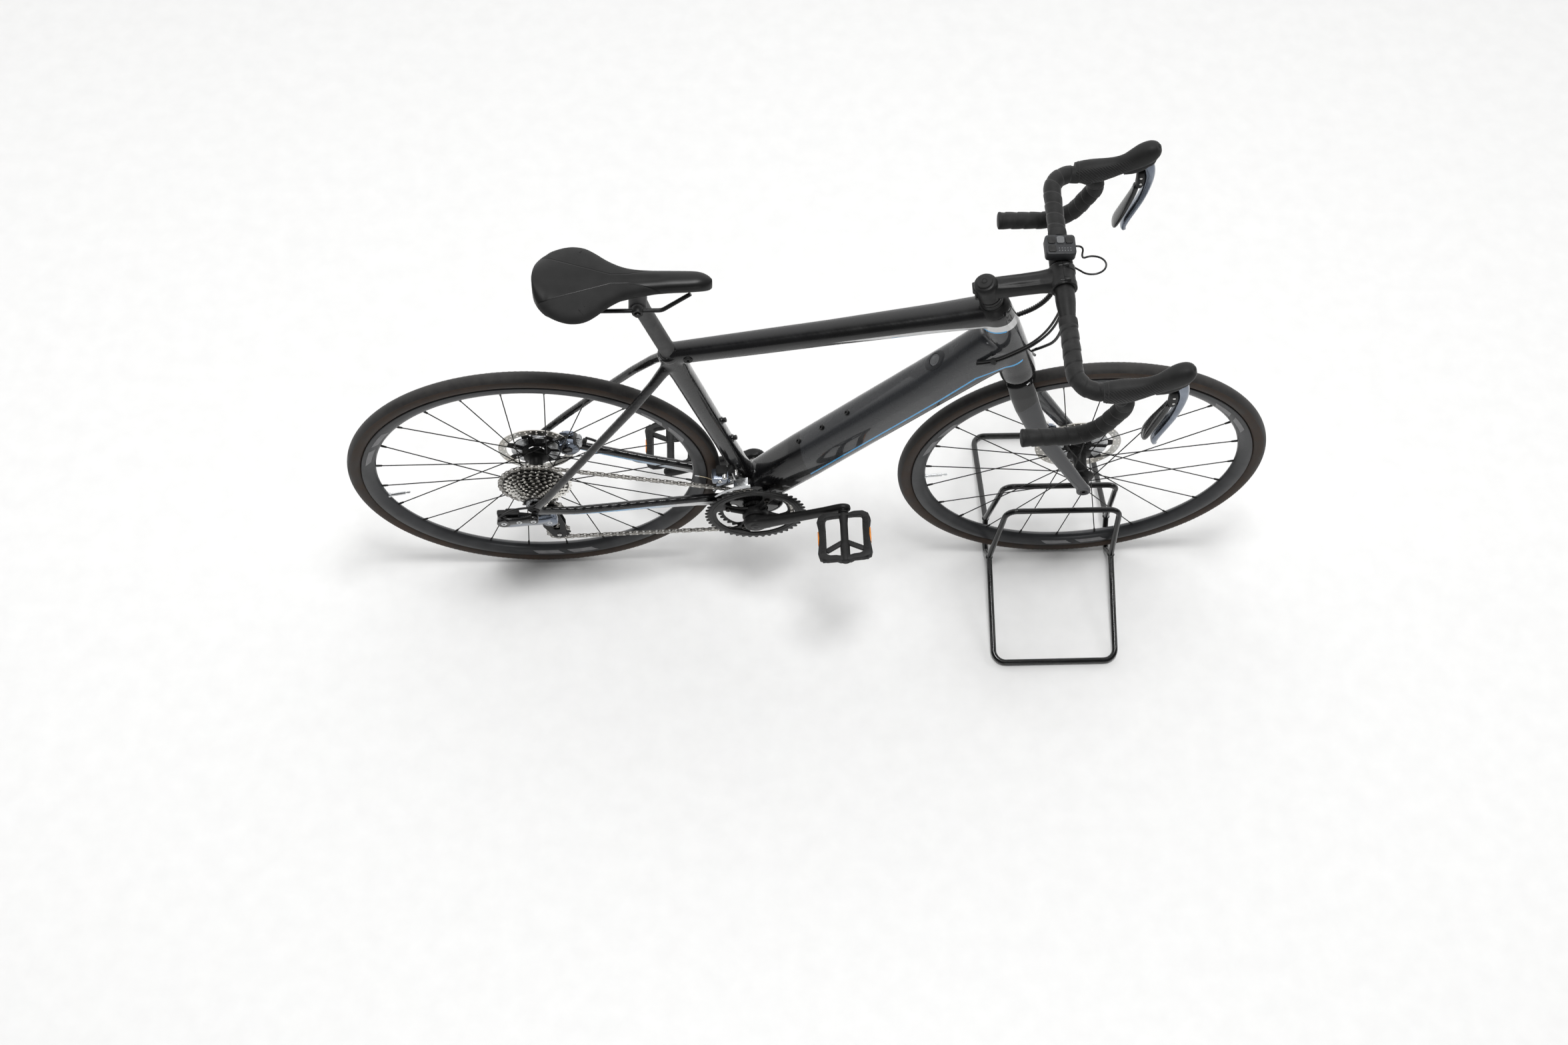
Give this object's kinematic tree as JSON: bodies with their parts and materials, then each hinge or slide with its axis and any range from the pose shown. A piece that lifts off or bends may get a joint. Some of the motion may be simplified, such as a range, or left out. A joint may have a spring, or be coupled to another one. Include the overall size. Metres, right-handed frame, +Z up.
{
  "type": "bicycle on stand",
  "caption": "Drop-bar electric road bicycle with disc brakes, standing with its front wheel held upright in a bent-tube floor stand.",
  "frame": {"origin": "on the floor, midway between the two axles and in the bicycle's middle plane", "axes": "+X towards the front wheel, +Y to the bicycle's left, +Z up"},
  "size_m": [1.684, 0.52, 1.0122],
  "materials": {
    "stand_black": "gloss",
    "frame_gloss": "gloss",
    "satin_black": "satin anodised",
    "bar_tape": "matt",
    "hood_rubber": "matt",
    "dark_plastic": "matt",
    "grey_metal": "satin",
    "black_steel": "satin",
    "cable_black": "satin",
    "tyre": "matt",
    "rim_grey": "satin anodised",
    "rotor_steel": "brushed",
    "chain_steel": "bright",
    "saddle_cover": "matt and smooth panels",
    "pedal_resin": "matt"
  },
  "bodies": {
    "stand": {"stand_near_loop": "stand_black", "stand_far_loop": "stand_black", "stand_near_arch": "stand_black", "stand_far_arch": "stand_black", "stand_cradle_bars": "stand_black"},
    "front_end": {"fork": "frame_gloss", "headset": "satin_black", "stem": "satin_black", "stem_faceplate": "satin_black", "handlebar": "satin_black", "bar_tape": "bar_tape", "hood_right": "hood_rubber", "hood_left": "hood_rubber", "bar_remote": "dark_plastic", "front_caliper": "grey_metal", "front_axle": "black_steel", "fork_cables": "cable_black"},
    "brake_lever_right": {"brake_lever_right": "grey_metal"},
    "brake_lever_left": {"brake_lever_left": "grey_metal"},
    "shift_paddle_right": {"shift_paddle_right": "dark_plastic"},
    "shift_paddle_left": {"shift_paddle_left": "dark_plastic"},
    "front_wheel": {"front_tyre": "tyre", "front_rim": "rim_grey", "front_spokes": "black_steel", "front_hub": "satin_black", "front_rotor": "rotor_steel"},
    "frame": {"head_tube": "frame_gloss", "top_tube": "frame_gloss", "down_tube": "frame_gloss", "seat_tube": "frame_gloss", "motor_housing": "satin_black", "battery_pack": "dark_plastic", "seat_stays": "frame_gloss", "chain_stays": "frame_gloss", "frame_bolts": "black_steel", "rear_axle": "black_steel", "rear_caliper": "grey_metal", "chain": "chain_steel", "rear_derailleur": "grey_metal", "derailleur_cage": "grey_metal", "front_derailleur": "grey_metal", "steering_cables": "cable_black", "rear_cables": "cable_black"},
    "power_button": {"power_button": "dark_plastic"},
    "rear_wheel": {"rear_tyre": "tyre", "rear_rim": "rim_grey", "rear_spokes": "black_steel", "rear_hub": "satin_black", "rear_rotor": "rotor_steel"},
    "cassette": {"cassette": "chain_steel"},
    "seatpost": {"seatpost": "satin_black", "saddle_rails": "black_steel", "saddle": "saddle_cover"},
    "crank": {"crank_right": "satin_black", "crank_left": "satin_black", "chainrings": "satin_black"},
    "pedal_right": {"pedal_right": "pedal_resin"},
    "pedal_left": {"pedal_left": "pedal_resin"},
    "guide_pulley": {"guide_pulley": "dark_plastic"},
    "tension_pulley": {"tension_pulley": "dark_plastic"}
  },
  "joints": [
    {"name": "lift_off_stand", "type": "slide", "parent": "stand", "child": "front_end", "axis": [0, 0, 1], "range_m": [0, 0.3]},
    {"name": "steering", "type": "hinge", "parent": "front_end", "child": "frame", "pos_m": [0.3423, 0, 0.66801], "axis": [-0.3173, 0, 0.9483], "range_deg": [-45, 45], "deforming": ["steering_cables"]},
    {"name": "front_wheel_spin", "type": "hinge", "parent": "front_end", "child": "front_wheel", "pos_m": [0.503, 0, 0.339], "axis": [0, 1, 0], "continuous": true},
    {"name": "rear_wheel_spin", "type": "hinge", "parent": "frame", "child": "rear_wheel", "pos_m": [-0.503, 0, 0.339], "axis": [0, 1, 0], "continuous": true},
    {"name": "crank_spin", "type": "hinge", "parent": "frame", "child": "crank", "pos_m": [-0.1, 0, 0.261], "axis": [0, 1, 0], "continuous": true},
    {"name": "cassette_spin", "type": "hinge", "parent": "frame", "child": "cassette", "pos_m": [-0.503, -0.04, 0.339], "axis": [0, 1, 0], "continuous": true},
    {"name": "guide_pulley_spin", "type": "hinge", "parent": "frame", "child": "guide_pulley", "pos_m": [-0.483, -0.025, 0.249], "axis": [0, 1, 0], "continuous": true},
    {"name": "tension_pulley_spin", "type": "hinge", "parent": "frame", "child": "tension_pulley", "pos_m": [-0.473, -0.025, 0.152], "axis": [0, 1, 0], "continuous": true},
    {"name": "pedal_right_spin", "type": "hinge", "parent": "crank", "child": "pedal_right", "pos_m": [0.05831, -0.09, 0.32951], "axis": [0, 1, 0], "continuous": true},
    {"name": "pedal_left_spin", "type": "hinge", "parent": "crank", "child": "pedal_left", "pos_m": [-0.25831, 0.09, 0.19249], "axis": [0, 1, 0], "continuous": true},
    {"name": "brake_right", "type": "hinge", "parent": "front_end", "child": "brake_lever_right", "pos_m": [0.527, -0.21, 0.964], "axis": [0, 1, 0], "range_deg": [0, 15], "stiffness_Nm_per_rad": 0.6},
    {"name": "brake_left", "type": "hinge", "parent": "front_end", "child": "brake_lever_left", "pos_m": [0.527, 0.21, 0.964], "axis": [0, 1, 0], "range_deg": [0, 15], "stiffness_Nm_per_rad": 0.6},
    {"name": "shift_right", "type": "hinge", "parent": "brake_lever_right", "child": "shift_paddle_right", "pos_m": [0.529, -0.21, 0.8985], "axis": [0, 0, -1], "range_deg": [0, 12], "stiffness_Nm_per_rad": 0.1},
    {"name": "shift_left", "type": "hinge", "parent": "brake_lever_left", "child": "shift_paddle_left", "pos_m": [0.529, 0.21, 0.8985], "axis": [0, 0, 1], "range_deg": [0, 12], "stiffness_Nm_per_rad": 0.1},
    {"name": "saddle_height", "type": "slide", "parent": "frame", "child": "seatpost", "axis": [-0.2957, 0, 0.9553], "range_m": [-0.12, 0.04]},
    {"name": "button_press", "type": "slide", "parent": "frame", "child": "power_button", "axis": [0.7656, 0, -0.6433], "range_m": [0, 0.0012], "stiffness_N_per_m": 300}
  ],
  "couplings": [
    {"joint": "cassette_spin", "follows": "crank_spin", "ratio": 1.0625},
    {"joint": "guide_pulley_spin", "follows": "crank_spin", "ratio": -3.0909},
    {"joint": "tension_pulley_spin", "follows": "crank_spin", "ratio": 3.0909}
  ]
}
